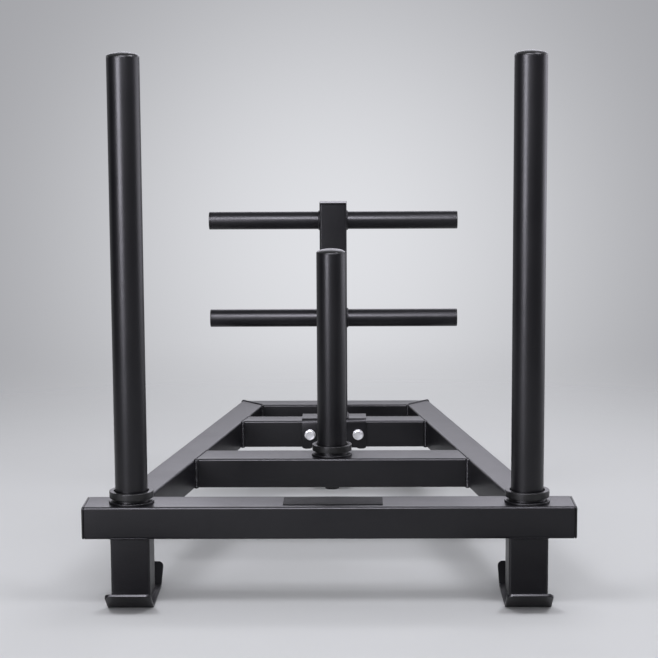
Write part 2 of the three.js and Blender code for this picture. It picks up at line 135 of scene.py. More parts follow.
# Badge plate on the front beam, left bare
BADGE_WIDTH = 0.152
BADGE_DEPTH = 0.048
BADGE_THICKNESS = 0.0015
BADGE_CORNER = 0.0015
BADGE_EDGE = 0.0004
BADGE_OFFSET = 0.006

# Weld beads, which are rows of drops that overlap
BEAD_RADIUS = 0.0027
SMALL_BEAD_RADIUS = 0.0019
THIN_BEAD_RADIUS = 0.0015
CROSSBAR_BEAD_RADIUS = 0.0036
MITRE_BEAD_RADIUS = 0.0022
BEAD_STEP = 0.0005
BEAD_SECTION_STEPS = 12
DROP_PITCH = 0.0024
DROP_RIPPLE = 0.14
DROP_RIPPLE_MIDDLE = 0.6
DROP_JITTER = 0.05
BEAD_BLOB = 0.35
BEAD_BLOB_REACH = 0.006
BEAD_TIP_SHARE = 0.2
BEAD_OVERRUN = 0.0009
CROSSBAR_BEAD_STANDOFF = CROSSBAR_BEAD_RADIUS / 4
HANDLEBAR_BEAD_STANDOFF = SMALL_BEAD_RADIUS / 3
LEG_TOP_BEAD_SINK = 0.0012

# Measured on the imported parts
FRAME_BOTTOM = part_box("front_beam")[0].z
FRAME_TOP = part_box("front_beam")[1].z
FRAME_MIDDLE = (FRAME_TOP + FRAME_BOTTOM) / 2
TUBE = FRAME_TOP - FRAME_BOTTOM
RAIL_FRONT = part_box("right_rail")[0].y
RAIL_FRONT_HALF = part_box("right_rail")[1].x
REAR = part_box("rear_crossbar")[1].y
REAR_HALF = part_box("rear_crossbar")[1].x
TAPER = math.atan2(RAIL_FRONT_HALF - REAR_HALF, REAR - RAIL_FRONT)


def middle(node):
    low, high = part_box(node)
    return (low + high) / 2


def size(node):
    low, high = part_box(node)
    return high - low


def foot_of(node):
    """The middle of a node's underside."""
    centre = middle(node)
    return Vector((centre.x, centre.y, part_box(node)[0].z))


# Outlines


def arc(centre, start, turn):
    """Points round a centre, from the spoke called start, through an angle."""
    steps = max(2, math.ceil(abs(turn) / ARC_STEP))
    return [centre + Matrix.Rotation(turn * k / steps, 2) @ start for k in range(steps + 1)]


def filleted(corners):
    """An outline of corners (u, v, radius), each rounded by an arc of its radius."""
    outline = []
    for i, (u, v, radius) in enumerate(corners):
        corner = Vector((u, v))
        if radius == 0:
            outline.append(corner)
            continue
        before = (Vector(corners[i - 1][:2]) - corner).normalized()
        after = (Vector(corners[(i + 1) % len(corners)][:2]) - corner).normalized()
        half = before.angle(after) / 2
        centre = corner + (before + after).normalized() * radius / math.sin(half)
        start = corner + before * radius / math.tan(half) - centre
        way = -1 if before.x * after.y > before.y * after.x else 1
        outline += arc(centre, start, way * (math.pi - 2 * half))
    return outline


def rounded_box(width, height, radius):
    x, y = width / 2, height / 2
    return filleted([(x, y, radius), (-x, y, radius), (-x, -y, radius), (x, -y, radius)])


def circle(radius, steps):
    turns = [2 * math.pi * k / steps for k in range(steps)]
    return [(radius * math.cos(turn), radius * math.sin(turn)) for turn in turns]


# Solids


def ring_of(bm, points):
    return [bm.verts.new(point) for point in points]


def bridge(bm, first, second):
    """Faces between two rings of as many vertices; a ring of one vertex makes a fan."""
    count = max(len(first), len(second))
    for i in range(count):
        j = (i + 1) % count
        if len(first) == 1:
            bm.faces.new((first[0], second[j], second[i]))
        elif len(second) == 1:
            bm.faces.new((first[i], first[j], second[0]))
        else:
            bm.faces.new((first[i], first[j], second[j], second[i]))


def chain(bm, rings):
    """Bridges each ring of vertices to the next."""
    for first, second in zip(rings, rings[1:]):
        bridge(bm, first, second)


def loft(bm, outlines):
    """Joins outlines in turn, and closes both ends."""
    rings = [ring_of(bm, points) for points in outlines]
    chain(bm, rings)
    bm.faces.new(rings[0])
    bm.faces.new(rings[-1])


def turned(profile, steps=ROUND_STEPS, closed=False):
    """A profile of (radius, height) turned round the Z axis; a closed one joins its own start."""
    bm = bmesh.new()
    rings = []
    for radius, height in profile:
        points = [(0, 0)] if radius < TINY else circle(radius, steps)
        rings.append(ring_of(bm, [(x, y, height) for x, y in points]))
    chain(bm, rings + rings[:1] if closed else rings)
    return bm


def moved(bm, place, axis=UP):
    """Turns what was built round +Z to point along an axis, and puts it in its place."""
    turn = UP.rotation_difference(axis).to_matrix().to_4x4()
    bmesh.ops.transform(bm, matrix=Matrix.Translation(place) @ turn, verts=bm.verts)
    return bm


def soften(bm, width, steps=EDGE_STEPS):
    """Rounds every sharp edge."""
    bmesh.ops.recalc_face_normals(bm, faces=bm.faces)
    sharp = [e for e in bm.edges if e.is_manifold and e.calc_face_angle() > SHARP_ANGLE]
    bmesh.ops.bevel(
        bm, geom=sharp, offset=width, segments=steps, affect="EDGES", profile=ROUND_PROFILE
    )


def loose_object(name, bm):
    bmesh.ops.recalc_face_normals(bm, faces=bm.faces)
    mesh = bpy.data.meshes.new(name)
    bm.to_mesh(mesh)
    bm.free()
    made = bpy.data.objects.new(name, mesh)
    bpy.context.scene.collection.objects.link(made)
    return made


def cut_out(solid, tools):
    """The solid less its tools, each a mesh of its own."""
    body = loose_object("solid", solid)
    cutters = [loose_object("tool", tool) for tool in tools]
    for cutter in cutters:
        step = body.modifiers.new("cut", "BOOLEAN")
        step.operation = "DIFFERENCE"
        step.solver = "EXACT"
        step.object = cutter
    shown = body.evaluated_get(bpy.context.evaluated_depsgraph_get())
    result = bmesh.new()
    result.from_mesh(shown.to_mesh())
    for used in (body, *cutters):
        mesh = used.data
        bpy.data.objects.remove(used)
        bpy.data.meshes.remove(mesh)
    return result


def drill(radius, start, end):
    """A round cutting tool between two points."""
    length = (end - start).length
    tool = turned([(0, 0), (radius, 0), (radius, length), (0, length)], SMALL_ROUND_STEPS)
    return moved(tool, start, (end - start).normalized())


def upward_drill(radius, x, y, bottom, depth, beyond):
    """A drill up through level metal that stands out beyond it at both ends."""
    start = Vector((x, y, bottom - beyond))
    return drill(radius, start, start + UP * (depth + 2 * beyond))


# Materials

PATCH_DETAIL = 2.0
GRAIN_DETAIL = 3.0
NOISE_LOW = 0.3
NOISE_HIGH = 0.7


def node_of(tree, kind, **inputs):
    """A shader node with its inputs set or linked by name."""
    made = tree.nodes.new(kind)
    for name, value in inputs.items():
        socket = made.inputs[name.replace("_", " ")]
        if isinstance(value, bpy.types.NodeSocket):
            tree.links.new(value, socket)
        else:
            socket.default_value = value
    return made


def noise(tree, scale, detail):
    """Noise in the piece's own space; scale is in cycles to the metre."""
    where = tree.nodes.new("ShaderNodeTexCoord").outputs["Object"]
    made = node_of(tree, "ShaderNodeTexNoise", Vector=where, Scale=scale, Detail=detail)
    return made.outputs["Fac"]


def ranged(tree, value, lowest, highest, low=0.0, high=1.0):
    """Maps one range of a value onto another."""
    return node_of(
        tree, "ShaderNodeMapRange",
        Value=value, From_Min=lowest, From_Max=highest, To_Min=low, To_Max=high,
    )


def mixed(tree, factor, first, second):
    """One colour or colour socket fading into another."""
    made = tree.nodes.new("ShaderNodeMix")
    made.data_type = "RGBA"
    tree.links.new(factor, made.inputs["Factor"])
    for name, value in (("A", first), ("B", second)):
        if isinstance(value, bpy.types.NodeSocket):
            tree.links.new(value, made.inputs[name])
        else:
            made.inputs[name].default_value = (*value, 1)
    return made.outputs["Result"]


def surface(
    name, colours, roughness, patch_scale, grain_scale, grain_height, metallic=0.0, ior=1.5
):
    """A material whose colour and gloss drift in patches, over a fine grain."""
    material = bpy.data.materials.new(name)
    material.use_nodes = True
    tree = material.node_tree
    shader = tree.nodes["Principled BSDF"]
    patches = noise(tree, patch_scale, PATCH_DETAIL)
    grain = noise(tree, grain_scale, GRAIN_DETAIL)
    tree.links.new(mixed(tree, patches, *colours), shader.inputs["Base Color"])
    gloss = ranged(tree, patches, NOISE_LOW, NOISE_HIGH, *roughness)
    tree.links.new(gloss.outputs["Result"], shader.inputs["Roughness"])
    shader.inputs["Metallic"].default_value = metallic
    shader.inputs["IOR"].default_value = ior
    bump = node_of(tree, "ShaderNodeBump", Strength=1.0, Distance=grain_height, Height=grain)
    tree.links.new(bump.outputs["Normal"], shader.inputs["Normal"])
    return material


def matt(name, colour):
    """A material without any shine."""
    material = bpy.data.materials.new(name)
    material.use_nodes = True
    shader = material.node_tree.nodes["Principled BSDF"]
    shader.inputs["Base Color"].default_value = (*colour, 1)
    shader.inputs["Roughness"].default_value = 1.0
    shader.inputs["Specular IOR Level"].default_value = 0.0
    return material


def powder_coat():
    """Black, satin, with a fine orange peel."""
    return surface(
        "powder_coat",
        colours=((0.0040, 0.0038, 0.0060), (0.0052, 0.0049, 0.0072)),
        roughness=(0.33, 0.38),
        patch_scale=9.0,
        grain_scale=340.0,
        grain_height=0.00014,
        ior=1.42,
    )


def cap_plastic():
    return surface(
        "cap_plastic",
        colours=((0.0060, 0.0060, 0.0065), (0.0085, 0.0085, 0.0090)),
        roughness=(0.32, 0.37),
        patch_scale=30.0,
        grain_scale=1400.0,
        grain_height=0.00002,
        ior=1.42,
    )


def ring_rubber():
    return surface(
        "ring_rubber",
        colours=((0.006, 0.006, 0.0065), (0.010, 0.010, 0.0105)),
        roughness=(0.33, 0.41),
        patch_scale=90.0,
        grain_scale=1100.0,
        grain_height=0.00004,
        ior=1.45,
    )


def zinc_plate():
    return surface(
        "zinc_plate",
        colours=((0.76, 0.77, 0.78), (0.86, 0.86, 0.85)),
        roughness=(0.34, 0.42),
        patch_scale=220.0,
        grain_scale=1600.0,
        grain_height=0.00001,
        metallic=1.0,
    )


def black_steel():
    return surface(
        "black_steel",
        colours=((0.020, 0.020, 0.022), (0.034, 0.033, 0.034)),
        roughness=(0.34, 0.44),
        patch_scale=160.0,
        grain_scale=1300.0,
        grain_height=0.00002,
        metallic=0.7,
    )


def badge_metal():
    return surface(
        "badge_metal",
        colours=((0.005, 0.005, 0.006), (0.007, 0.007, 0.008)),
        roughness=(0.58, 0.64),
        patch_scale=40.0,
        grain_scale=2200.0,
        grain_height=0.00001,
        ior=1.28,
    )


COAT = powder_coat()
PLASTIC = cap_plastic()
RUBBER = ring_rubber()
ZINC = zinc_plate()
STEEL = black_steel()
BADGE = badge_metal()


# Pieces


def piece(name, bm, material, stands_for=(), body=BODY):
    """A finished piece of the sled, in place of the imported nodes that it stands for."""
    made = loose_object(name, bm)
    made.data.shade_smooth()
    made.data.set_sharp_from_angle(angle=SHARP_ANGLE)
    made.data.materials.append(material)
    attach(made, body)
    if stands_for:
        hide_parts(*stands_for)


def coated(name, bm, *stands_for):
    piece(name, bm, COAT, stands_for)


def moulded(name, bm, *stands_for):
    piece(name, bm, PLASTIC, stands_for)


def zinced(name, bm, *stands_for):
    piece(name, bm, ZINC, stands_for)


def blackened(name, bm, *stands_for):
    piece(name, bm, STEEL, stands_for)


# Frame


def plane_cut(point, along, plane):
    """Where a line through a point crosses a plane given by a place and a normal."""
    place, normal = plane
    return point + along * ((place - point).dot(normal) / along.dot(normal))


def hollow_bar(centre, across, upward, width, height, ends):
    """Box tube between two cutting planes."""
    bm = bmesh.new()
    along = across.cross(upward)
    rings = []
    outer = rounded_box(width, height, TUBE_CORNER)
    inner = rounded_box(width - 2 * TUBE_WALL, height - 2 * TUBE_WALL, TUBE_CORNER - TUBE_WALL)
    for outline in (outer, inner):
        for plane in ends:
            at = [centre + across * p.x + upward * p.y for p in outline]
            rings.append(ring_of(bm, [plane_cut(point, along, plane) for point in at]))
    outer_start, outer_end, inner_start, inner_end = rings
    chain(bm, [outer_start, outer_end, inner_end, inner_start, outer_start])
    return bm


def outer_half(y):
    """Half the width over both rails."""
    return RAIL_FRONT_HALF - (y - RAIL_FRONT) * math.tan(TAPER)


def inner_half(y):
    """Half the width between the rails."""
    return outer_half(y) - TUBE / math.cos(TAPER)


def mitre(side, offset):
    """The cutting plane between a rail and the rear crossbar, moved towards the rail."""
    outer = Vector((side * outer_half(REAR), REAR, FRAME_MIDDLE))
    inner = Vector((side * inner_half(REAR - TUBE), REAR - TUBE, FRAME_MIDDLE))
    normal = (outer - inner).cross(UP).normalized() * side
    return (outer + inner) / 2 + normal * offset, normal


def rail(side):
    along = Vector((-side * math.sin(TAPER), math.cos(TAPER), 0))
    outward = Vector((side * math.cos(TAPER), math.sin(TAPER), 0))
    corner = Vector((side * RAIL_FRONT_HALF, RAIL_FRONT, FRAME_MIDDLE))
    ends = ((corner, BACK), mitre(side, MITRE_SEAM / 2))
    return hollow_bar(corner - outward * TUBE / 2, UP.cross(along), UP, TUBE, TUBE, ends)


def rear_crossbar():
    ends = (mitre(-1, -MITRE_SEAM / 2), mitre(1, -MITRE_SEAM / 2))
    return hollow_bar(middle("rear_crossbar"), BACK, UP, TUBE, TUBE, ends)


def crossbar(node):
    """A bar whose ends follow the rails."""
    centre = middle(node)
    reach = inner_half(centre.y) - SEAM / math.cos(TAPER)
    ends = []
    for side in SIDES.values():
        normal = Vector((side * math.cos(TAPER), math.sin(TAPER), 0))
        ends.append((centre + RIGHT * side * reach, normal))
    return hollow_bar(centre, BACK, UP, size(node).y, TUBE, ends)


def post_bolt_drill(name):
    """A drill through the frame for the bolt that holds a post."""
    bolt = middle(f"{name}_post_bolt")
    radius = POST_BOLT_DIAMETER / 2 + BOLT_CLEARANCE
    return upward_drill(radius, bolt.x, bolt.y, FRAME_BOTTOM, TUBE, TUBE_WALL)


def front_beam():
    low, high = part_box("front_beam")
    ends = ((low, RIGHT), (high, RIGHT))
    bar = hollow_bar(middle("front_beam"), BACK, UP, high.y - low.y, TUBE, ends)
    return cut_out(bar, [post_bolt_drill(name) for name in SIDES])


def mid_crossbar():
    return cut_out(crossbar("mid_crossbar"), [post_bolt_drill("mid")])


def saddle_drills():
    """Tools for the two bolts through the saddle bracket and its crossbar."""
    low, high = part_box("saddle_bracket")
    tools = []
    for name in SIDES:
        bolt = middle(f"saddle_bolt_{name}")
        start = Vector((bolt.x, low.y - SADDLE_PLATE, bolt.z))
        end = Vector((bolt.x, high.y + SADDLE_PLATE, bolt.z))
        tools.append(drill(SADDLE_BOLT_DIAMETER / 2 + BOLT_CLEARANCE, start, end))
    return tools


def saddle_crossbar():
    """Drilled through for the saddle's bolts, and from below for its own two."""
    tools = saddle_drills()
    radius = SADDLE_BOLT_DIAMETER / 2 + SEAM
    for name in SIDES:
        bolt = middle(f"crossbar_bolt_{name}")
        tools.append(upward_drill(radius, bolt.x, bolt.y, FRAME_BOTTOM, TUBE_WALL, TUBE_WALL))
    return cut_out(crossbar("saddle_crossbar"), tools)


def leg(node):
    low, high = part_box(node)
    ends = ((low, UP), (high, UP))
    return hollow_bar(middle(node), RIGHT, BACK, high.x - low.x, high.y - low.y, ends)


def box_cap(node, along, thickness):
    """A moulded plate with a hollow spigot behind it; along points out of the tube."""
    across = RIGHT if along.x == 0 else BACK
    upward = along.cross(across)
    spans = size(node)
    width, height, depth = (abs(spans.dot(way)) for way in (across, upward, along))
    bm = bmesh.new()
    plate = rounded_box(width, height, TUBE_CORNER)
    loft(bm, [[(*p, z) for p in plate] for z in (0, thickness)])
    soften(bm, BOX_CAP_EDGE_SHARE * thickness, BOX_CAP_EDGE_STEPS)
    lost = 2 * (TUBE_WALL + SEAM)
    stem = rounded_box(width - lost, height - lost, BOX_CAP_STEM_CORNER)
    lost += 2 * CAP_WALL
    hollow = rounded_box(width - lost, height - lost, BOX_CAP_STEM_CORNER)
    foot = thickness - depth
    levels = ((stem, thickness / 2), (stem, foot), (hollow, foot), (hollow, 0))
    loft(bm, [[(*p, z) for p in outline] for outline, z in levels])
    basis = Matrix((across, upward, along)).transposed().to_4x4()
    seat = middle(node) + along * (depth / 2 - thickness)
    bmesh.ops.transform(bm, matrix=Matrix.Translation(seat) @ basis, verts=bm.verts)
    return bm


def skid_flat_half(length):
    """Half the length of the skid's flat middle."""
    lip_reach = SKID_LIP_LENGTH * math.cos(SKID_LIP_ANGLE)
    return length / 2 - SKID_OUTER_RADIUS * math.sin(SKID_LIP_ANGLE) - lip_reach


def skid_station(distance, length):
    """Place and slope of the skid's middle line at a distance from its middle."""
    flat_half = skid_flat_half(length)
    side = math.copysign(1, distance)
    beyond = abs(distance) - flat_half
    if beyond <= 0:
        return distance, SKID_THICKNESS / 2, 0
    slope = min(beyond / SKID_MIDDLE_RADIUS, SKID_LIP_ANGLE)
    rest = max(0, beyond - SKID_MIDDLE_RADIUS * SKID_LIP_ANGLE)
    y = flat_half + SKID_MIDDLE_RADIUS * math.sin(slope) + rest * math.cos(slope)
    z = SKID_OUTER_RADIUS - SKID_MIDDLE_RADIUS * math.cos(slope) + rest * math.sin(slope)
    return side * y, z, side * slope


def skid_distances(length):
    """Where the skid's cross-sections stand along its middle line, and half that line's length."""
    flat_half = skid_flat_half(length)
    bend = SKID_MIDDLE_RADIUS * SKID_LIP_ANGLE
    half = flat_half + bend + SKID_LIP_LENGTH
    places = [0, flat_half / 2]
    places += [flat_half + bend * k / SKID_BEND_STEPS for k in range(SKID_BEND_STEPS + 1)]
    for k in range(SKID_TIP_STEPS + 1):
        turn = math.pi / 2 * k / SKID_TIP_STEPS
        places.append(half - SKID_TIP_RADIUS * (1 - math.sin(turn)))
    for k in range(1, SKID_EDGE_STEPS + 1):
        places.append(half - SKID_EDGE * (1 - k / SKID_EDGE_STEPS) ** 2)
    places = sorted(set(places))
    return [-place for place in reversed(places[1:])] + places, half


def rounded_off(left, radius):
    """How far a rounded corner lies inside the square one, at a distance from its end."""
    gone = max(0, radius - left)
    return radius - math.sqrt(radius ** 2 - gone ** 2)


def skid(node, hole_x=None):
    """A flat bar with both ends bent up, its edges eased and the corners of its tips rounded."""
    centre, spans = middle(node), size(node)
    distances, half = skid_distances(spans.y)
    rings = []
    for distance in distances:
        left = half - abs(distance)
        width = spans.x - 2 * rounded_off(left, SKID_TIP_RADIUS)
        thinner = rounded_off(left, SKID_EDGE)
        edge = SKID_EDGE - SKID_TIP_SHARPENING * thinner
        section = rounded_box(width, SKID_THICKNESS - 2 * thinner, edge)
        y, z, slope = skid_station(distance, spans.y)
        lift = Vector((0, -math.sin(slope), math.cos(slope)))
        place = Vector((centre.x, centre.y + y, z))
        rings.append([place + RIGHT * p.x + lift * p.y for p in section])
    bm = bmesh.new()
    loft(bm, rings)
    if hole_x is None:
        return bm
    hole = upward_drill(
        ACCESS_HOLE_DIAMETER / 2, hole_x, centre.y, 0, SKID_THICKNESS, SKID_THICKNESS
    )
    return cut_out(bm, [hole])


def build_frame():
    coated("front_beam_tube", front_beam(), "front_beam")
    coated("mid_crossbar_tube", mid_crossbar(), "mid_crossbar")
    coated("saddle_crossbar_tube", saddle_crossbar(), "saddle_crossbar")
    coated("rear_crossbar_tube", rear_crossbar(), "rear_crossbar")
    for name, side in SIDES.items():
        coated(f"{name}_rail_tube", rail(side), f"{name}_rail")
        node = f"front_beam_cap_{name}"
        cap = box_cap(node, RIGHT * side, size(node).x - CAP_SPIGOT)
        moulded(f"{node}_plug", cap, node)
    for name in SUPPORTS:
        node = f"{name}_leg"
        coated(f"{node}_tube", leg(node), node)
        hole_x = None if name == "rear" else middle(node).x
        node = f"{name}_skid"
        coated(f"{node}_plate", skid(node, hole_x), node)


# Posts


def pipe(radius, wall, length):
    """A round tube from zero height up, its ends just broken."""
    corners = [(radius, 0), (radius, length), (radius - wall, length), (radius - wall, 0)]
    return turned(filleted([(u, v, TUBE_EDGE) for u, v in corners]), closed=True)


def domed_cap(radius, wall, rim, bends, dome, spigot):
    """A moulded cap on a hollow spigot, its seat at zero and its top at the height called dome."""
    stem = radius - wall - SEAM
    hollow = stem - CAP_WALL
    corners = ((0, 0), (hollow, 0), (hollow, -spigot), (stem, -spigot), (stem, 0), (radius, 0))
    profile = [Vector(corner) for corner in corners]
    profile.append(Vector((radius, rim)))
    slope = 0
    for bend, degrees in bends:
        end = math.radians(degrees)
        outward = Vector((math.cos(slope), math.sin(slope))) * bend
        profile += arc(profile[-1] - outward, outward, end - slope)[1:]
        slope = end
    edge = profile[-1]
    for k in range(1, DOME_STEPS + 1):
        left = 1 - k / DOME_STEPS
        profile.append(Vector((edge.x * left, dome - (dome - edge.y) * left ** 2)))
    return turned(profile)


def post_flange(node, post_radius):
    """The disc that a post stands in, with a raised neck round the post's foot."""
    height = size(node).z
    radius = size(node).x / 2
    neck = post_radius + NECK_WALL
    recess = post_radius + SEAM
    bore = POST_BOLT_DIAMETER / 2 + BOLT_CLEARANCE
    corners = [
        (bore, 0, 0),
        (radius, 0, FLANGE_EDGE / 2),
        (radius, FLANGE_THICKNESS, FLANGE_EDGE),
        (neck, FLANGE_THICKNESS, NECK_ROOT),
        (neck, height, NECK_EDGE),
        (recess, height, NECK_EDGE / 2),
        (recess, FLANGE_THICKNESS, 0),
        (bore, FLANGE_THICKNESS, 0),
    ]
    return moved(turned(filleted(corners), closed=True), foot_of(node))


def post_ring(node):
    centre_radius = (size(node).x - RING_WIDTH) / 2
    outline = rounded_box(RING_WIDTH, size(node).z, RING_EDGE)
    return moved(turned([(centre_radius + p.x, p.y) for p in outline], closed=True), middle(node))


def hex_head(bm, width, height, way=1):
    """A hexagon from zero height up or down, as way is 1 or -1, its far face chamfered and a
    little dished. It gives back the ring on zero height."""
    flat = width / 2 * HEX_FACE_SHARE
    steps = HEX_SIDES * HEX_SIDE_STEPS
    sector = 2 * math.pi / HEX_SIDES
    foot, shoulder, face, dish = [], [], [], []
    for k in range(steps):
        angle = 2 * math.pi * k / steps
        within = (angle + sector / 2) % sector - sector / 2
        radius = width / 2 / math.cos(within)
        fall = (radius - flat) * math.tan(HEX_CHAMFER)
        for ring, reach, level in (
            (foot, radius, 0),
            (shoulder, radius, height - fall),
            (face, flat, height),
            (dish, flat * HEX_DISH_SHARE, height - HEX_DISH),
        ):
            ring.append((reach * math.cos(angle), reach * math.sin(angle), way * level))
    rings = [ring_of(bm, points) for points in (foot, shoulder, face, dish)]
    chain(bm, rings)
    bm.faces.new(rings[-1])
    return rings[0]


def hex_bolt(node, axis, diameter, width, head_height):
    """A bolt that fills its node's box, its head at the near end of the axis."""
    length = abs(size(node).dot(axis))
    radius = diameter / 2
    chamfer = radius * BOLT_TIP_SHARE
    tip = length - head_height
    bm = bmesh.new()
    rings = [hex_head(bm, width, head_height, -1)]
    for reach, level in ((radius, 0), (radius, tip - chamfer), (radius - chamfer, tip)):
        points = circle(reach, HEX_SIDES * HEX_SIDE_STEPS)
        rings.append(ring_of(bm, [(x, y, level) for x, y in points]))
    chain(bm, rings)
    bm.faces.new(rings[-1])
    return moved(bm, middle(node) + axis * (head_height - length / 2), axis)


def build_post(name):
    post = f"{name}_post"
    radius, height = size(post).x / 2, size(post).z
    foot = foot_of(post)
    coated(f"{post}_tube", moved(pipe(radius, POST_WALL, height), foot), post)
    node = f"{post}_cap"
    seat = foot + UP * (height + SEAM)
    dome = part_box(node)[1].z - seat.z + POST_CAP_RISE
    cap = domed_cap(radius, POST_WALL, POST_CAP_RIM, POST_CAP_BENDS, dome, CAP_SPIGOT)
    moulded(f"{node}_dome", moved(cap, seat), node)
    node = f"{post}_flange"
    coated(f"{node}_disc", post_flange(node, radius), node)
    node = f"{post}_ring"
    piece(f"{node}_rubber", post_ring(node), RUBBER, [node], f"{name}_ring")
    node = f"{post}_bolt"
    bolt = hex_bolt(
        node, UP, POST_BOLT_DIAMETER, POST_BOLT_HEAD_WIDTH, POST_BOLT_HEAD_HEIGHT
    )
    blackened(f"{node}_steel", bolt, node)
    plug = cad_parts[f"{post}_plug"]
    plug.data.materials.clear()
    plug.data.materials.append(STEEL)


# Handle


def saddle_bracket():
    """A folded plate that straddles the saddle crossbar."""
    low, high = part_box("saddle_bracket")
    half = (high.y - low.y) / 2
    inside = half - SADDLE_PLATE
    inner_radius = TUBE_CORNER + SEAM
    outer_radius = inner_radius + SADDLE_PLATE
    top, under = high.z, high.z - SADDLE_PLATE
    outline = filleted([
        (half, low.z, 0),
        (half, top, outer_radius),
        (-half, top, outer_radius),
        (-half, low.z, 0),
        (-inside, low.z, 0),
        (-inside, under, inner_radius),
        (inside, under, inner_radius),
        (inside, low.z, 0),
    ])
    y = middle("saddle_bracket").y
    bm = bmesh.new()
    loft(bm, [[(x, y + p.x, p.y) for p in outline] for x in (low.x, high.x)])
    soften(bm, SADDLE_EDGE)
    return cut_out(bm, saddle_drills())


def upright():
    """Box tube with holes for both handlebars."""
    low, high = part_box("upright")
    ends = ((low, UP), (high, UP))
    bar = hollow_bar(middle("upright"), RIGHT, BACK, TUBE, TUBE, ends)
    reach = RIGHT * TUBE
    tools = []
    for node in HANDLEBARS:
        centre = middle(node)
        tools.append(drill(size(node).z / 2 + SEAM, centre - reach, centre + reach))
    return cut_out(bar, tools)


def washer(node):
    outer = size(node).x / 2
    inner = SADDLE_BOLT_DIAMETER / 2 + SEAM
    centre_radius = (outer + inner) / 2
    outline = rounded_box(outer - inner, size(node).y, WASHER_EDGE)
    profile = [(centre_radius + p.x, p.y) for p in outline]
    return moved(turned(profile, SMALL_ROUND_STEPS, closed=True), middle(node), BACK)


def saddle_bolt(node, axis):
    return hex_bolt(
        node, axis, SADDLE_BOLT_DIAMETER, SADDLE_BOLT_HEAD_WIDTH, SADDLE_BOLT_HEAD_HEIGHT
    )


def saddle_nut(node):
    """A nut with a plain bore."""
    height = size(node).y
    bm = bmesh.new()
    bm.faces.new(hex_head(bm, SADDLE_BOLT_HEAD_WIDTH, height))
    bore = drill(SADDLE_BOLT_DIAMETER / 2 + SEAM, UP * -height, UP * 2 * height)
    return moved(cut_out(bm, [bore]), middle(node) - BACK * height / 2, BACK)


def build_saddle_fasteners():
    for name in SIDES:
        node = f"saddle_bolt_{name}"
        zinced(f"{node}_zinc", saddle_bolt(node, BACK), node)
        node = f"saddle_nut_{name}"
        zinced(f"{node}_zinc", saddle_nut(node), node)
        for place in ("front", "rear"):
            node = f"saddle_washer_{place}_{name}"
            zinced(f"{node}_zinc", washer(node), node)
        node = f"crossbar_bolt_{name}"
        blackened(f"{node}_steel", saddle_bolt(node, UP), node)


def build_handlebar(node):
    centre, length = middle(node), size(node).x
    radius = size(node).z / 2
    tube = pipe(radius, HANDLEBAR_WALL, length)
    coated(f"{node}_tube", moved(tube, centre - RIGHT * length / 2, RIGHT), node)
    for name, side in SIDES.items():
        cap_node = f"{node}_cap_{name}"
        cap_length = size(cap_node).x
        seat = centre + RIGHT * side * (length / 2 + SEAM)
        dome = abs(middle(cap_node).x + side * cap_length / 2 - seat.x)
        cap = domed_cap(
            radius, HANDLEBAR_WALL, HANDLEBAR_CAP_RIM, HANDLEBAR_CAP_BENDS,
            dome, cap_length - dome,
        )
        moulded(f"{cap_node}_dome", moved(cap, seat, RIGHT * side), cap_node)


def build_handle():
    coated("saddle_bracket_plate", saddle_bracket(), "saddle_bracket")
    coated("upright_tube", upright(), "upright")
    cap = box_cap("upright_cap", UP, UPRIGHT_CAP_THICKNESS)
    moulded("upright_cap_plug", cap, "upright_cap")
    for node in HANDLEBARS:
        build_handlebar(node)
    build_saddle_fasteners()


def build_badge():
    """A bare plate on top of the front beam."""
    outline = rounded_box(BADGE_WIDTH, BADGE_DEPTH, BADGE_CORNER)
    bm = bmesh.new()
    loft(bm, [[(p.x, p.y, z) for p in outline] for z in (0, BADGE_THICKNESS)])
    soften(bm, BADGE_EDGE)
    moved(bm, Vector((BADGE_OFFSET, middle("front_beam").y, FRAME_TOP)))
    piece("badge_plate", bm, BADGE)


# Welds


def evenly(path, closed):
    """Points a bead's step apart along straight stretches between the path's points."""
    stops = [*path, path[0]] if closed else path
    points = []
    for first, second in zip(stops, stops[1:]):
        steps = max(1, round((second - first).length / BEAD_STEP))
        points += [first.lerp(second, k / steps) for k in range(steps)]
    if not closed:
        points.append(stops[-1])
    return points


def swollen(place, drop, radius):
    """A bead's radius at a place along it, where its drop has a size of its own."""
    share = place / DROP_PITCH % 1
    return radius * (1 + DROP_RIPPLE * (math.sin(math.pi * share) - DROP_RIPPLE_MIDDLE)) * drop


def bead(bm, path, facing, radius=BEAD_RADIUS, closed=False, blobs=0.0):
    """A weld bead swept along a path; facing is square to the path all along it, and blobs is how
    much the bead swells towards its two ends."""
    points = evenly(path, closed)
    drop_count = int(len(points) * BEAD_STEP / DROP_PITCH) + 2
    drops = [1 + random.uniform(-DROP_JITTER, DROP_JITTER) for _ in range(drop_count)]
    outlines = []
    for i, point in enumerate(points):
        before = points[i - 1] if closed or i else point
        after = points[(i + 1) % len(points)] if closed or i + 1 < len(points) else point
        other = (after - before).normalized().cross(facing)
        place = i * BEAD_STEP
        reach = swollen(place, drops[int(place / DROP_PITCH)], radius)
        if not closed:
            left = min(i, len(points) - 1 - i) * BEAD_STEP
            reach *= 1 + blobs * max(0, 1 - left / BEAD_BLOB_REACH)
            reach *= max(BEAD_TIP_SHARE, math.sqrt(1 - max(0, 1 - left / radius) ** 2))
        section = circle(reach, BEAD_SECTION_STEPS)
        outlines.append([point + facing * x + other * y for x, y in section])
    if closed:
        rings = [ring_of(bm, outline) for outline in outlines]
        chain(bm, [rings[-1], *rings])
    else:
        loft(bm, outlines)


